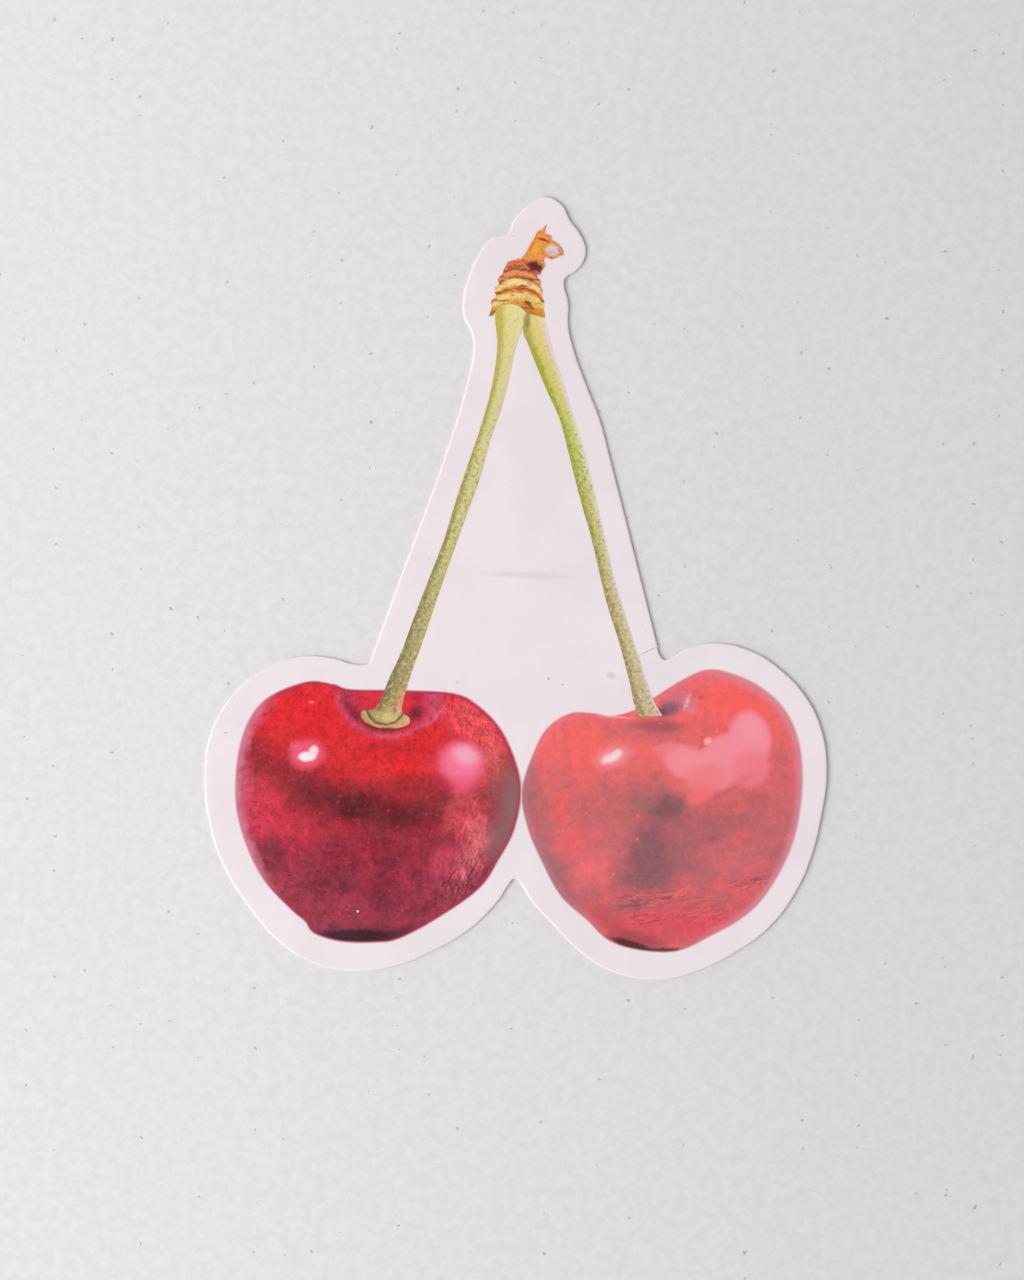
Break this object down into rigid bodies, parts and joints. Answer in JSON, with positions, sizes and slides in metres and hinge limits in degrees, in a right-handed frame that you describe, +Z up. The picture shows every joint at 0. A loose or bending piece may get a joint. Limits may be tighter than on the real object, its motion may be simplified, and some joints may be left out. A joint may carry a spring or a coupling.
{
  "type": "die-cut sticker",
  "caption": "Flat die-cut sticker on its release paper, printed with cherries on joined stalks, for sticking on a smooth surface or laying on a table.",
  "frame": {"origin": "under the middle of the sheet's bounding box, on the surface that the release paper rests on", "axes": "+Z up out of the printed face, +Y from the cherries to the twig end of the stalks, +X to the right as the print is seen"},
  "size_m": [0.0606, 0.0762, 0.0004],
  "materials": {
    "release_paper": "silicone-coated kraft paper, smooth and faintly glossy on the coated side",
    "adhesive": "clear acrylic pressure-sensitive adhesive, seen only at the cut edge",
    "white_film": "white calendered vinyl with a faint pink cast",
    "ink": "four-colour print of red cherries, green stalks and a brown bud scale under a clear film",
    "laminate": "clear satin overlaminate"
  },
  "bodies": {
    "root": {"release_liner": "release_paper", "adhesive_layer": "adhesive", "face_film": "white_film", "printed_ink": "ink", "clear_laminate": "laminate"}
  },
  "joints": []
}
